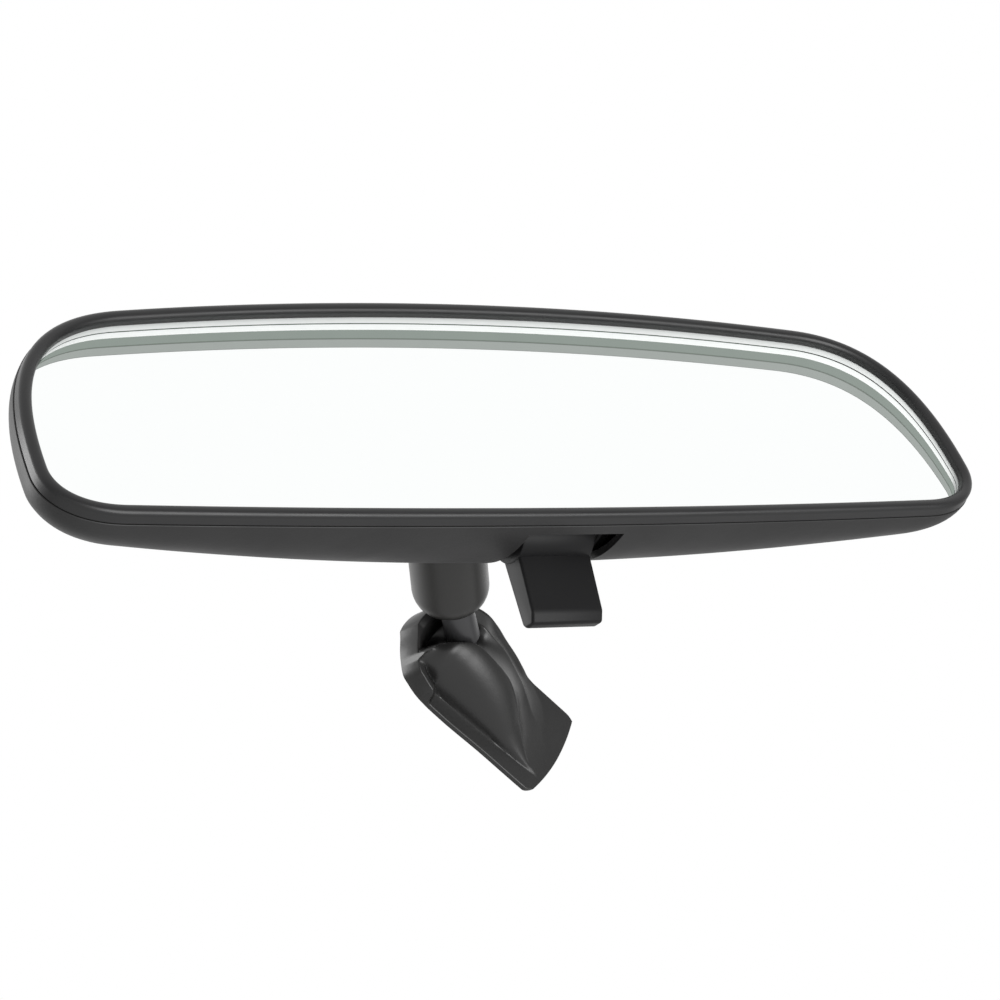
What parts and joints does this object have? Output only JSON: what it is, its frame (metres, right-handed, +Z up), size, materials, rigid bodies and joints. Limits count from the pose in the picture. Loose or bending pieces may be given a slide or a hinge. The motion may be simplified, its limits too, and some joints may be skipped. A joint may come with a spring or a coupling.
{
  "type": "interior rearview mirror",
  "caption": "Interior day/night rearview mirror: prism glass in a black case with a tilt lever, on a short twin-ball arm with a windshield foot.",
  "frame": {"origin": "centre of the bonded flat face of the foot, the face that meets the windshield", "axes": "+X along the head's length, -Y the way the glass faces, +Z up"},
  "size_m": [0.2477, 0.1035, 0.0757],
  "materials": {
    "bezel_plastic": "moulded, satin",
    "case_plastic": "moulded, fine texture",
    "lever_plastic": "moulded, satin",
    "mirror_glass": "polished prism, faint green",
    "silvering": "mirror",
    "foam": "foam sheet",
    "bonding_adhesive": "matt",
    "nylon": "moulded nylon",
    "pin_steel": "bright zinc",
    "stud_steel": "blackened, satin",
    "spring_steel": "drawn wire and strip",
    "tube_paint": "satin black paint",
    "casting_paint": "satin black paint on a casting"
  },
  "bodies": {
    "mount": {"mount_base": "casting_paint", "bonding_pad": "bonding_adhesive", "foot_ball_stud": "stud_steel"},
    "foot_liner": {"foot_ball_liner": "nylon"},
    "foot_seat": {"foot_seat_cup": "nylon"},
    "arm": {"arm_tube": "tube_paint", "arm_spring": "spring_steel"},
    "mirror_seat": {"mirror_seat_cup": "nylon"},
    "mirror_liner": {"mirror_ball_liner": "nylon"},
    "bracket": {"pivot_bracket": "nylon", "mirror_ball_stud": "stud_steel", "stud_washer": "pin_steel", "stud_nut": "pin_steel", "detent_spring": "spring_steel"},
    "head": {"bezel": "bezel_plastic", "rear_case": "case_plastic", "prism_glass": "mirror_glass", "silver_backing": "silvering", "backing_pad": "foam", "hinge_pin_left": "pin_steel", "hinge_pin_right": "pin_steel", "toggle_pin": "pin_steel"},
    "toggle": {"toggle_lever": "lever_plastic"}
  },
  "joints": [
    {"name": "foot_spin", "type": "hinge", "parent": "mount", "child": "foot_liner", "pos_m": [-0.01689, -0.0308, 0.01063], "axis": [0.5276, 0.8291, -0.1851], "range_deg": [-180, 180]},
    {"name": "foot_tilt", "type": "hinge", "parent": "foot_liner", "child": "foot_seat", "pos_m": [-0.01689, -0.0308, 0.01063], "axis": [-0.2031, -0.0885, -0.9752], "range_deg": [-11, 17]},
    {"name": "arm_spin", "type": "hinge", "parent": "foot_seat", "child": "arm", "pos_m": [-0.01689, -0.0308, 0.01063], "axis": [0.4418, 0.8805, -0.1719], "range_deg": [-180, 180]},
    {"name": "mirror_seat_spin", "type": "hinge", "parent": "arm", "child": "mirror_seat", "pos_m": [-0.02864, -0.05422, 0.0152], "axis": [0.4418, 0.8805, -0.1719], "range_deg": [-180, 180]},
    {"name": "mirror_tilt", "type": "hinge", "parent": "mirror_seat", "child": "mirror_liner", "pos_m": [-0.02864, -0.05422, 0.0152], "axis": [0.3626, 0, 0.9319], "range_deg": [-60, 4]},
    {"name": "mirror_spin", "type": "hinge", "parent": "mirror_liner", "child": "bracket", "pos_m": [-0.02864, -0.05422, 0.0152], "axis": [0, 1, 0], "range_deg": [-180, 180]},
    {"name": "day_night_tilt", "type": "hinge", "parent": "bracket", "child": "head", "pos_m": [-0.02864, -0.07622, 0.0278], "axis": [-1, 0, 0], "range_deg": [0, 4.5]},
    {"name": "toggle_flip", "type": "hinge", "parent": "head", "child": "toggle", "pos_m": [-0.02314, -0.07632, -0.0102], "axis": [-1, 0, 0], "range_deg": [0, 36]}
  ],
  "couplings": [
    {"joint": "toggle_flip", "follows": "day_night_tilt", "ratio": 8}
  ]
}
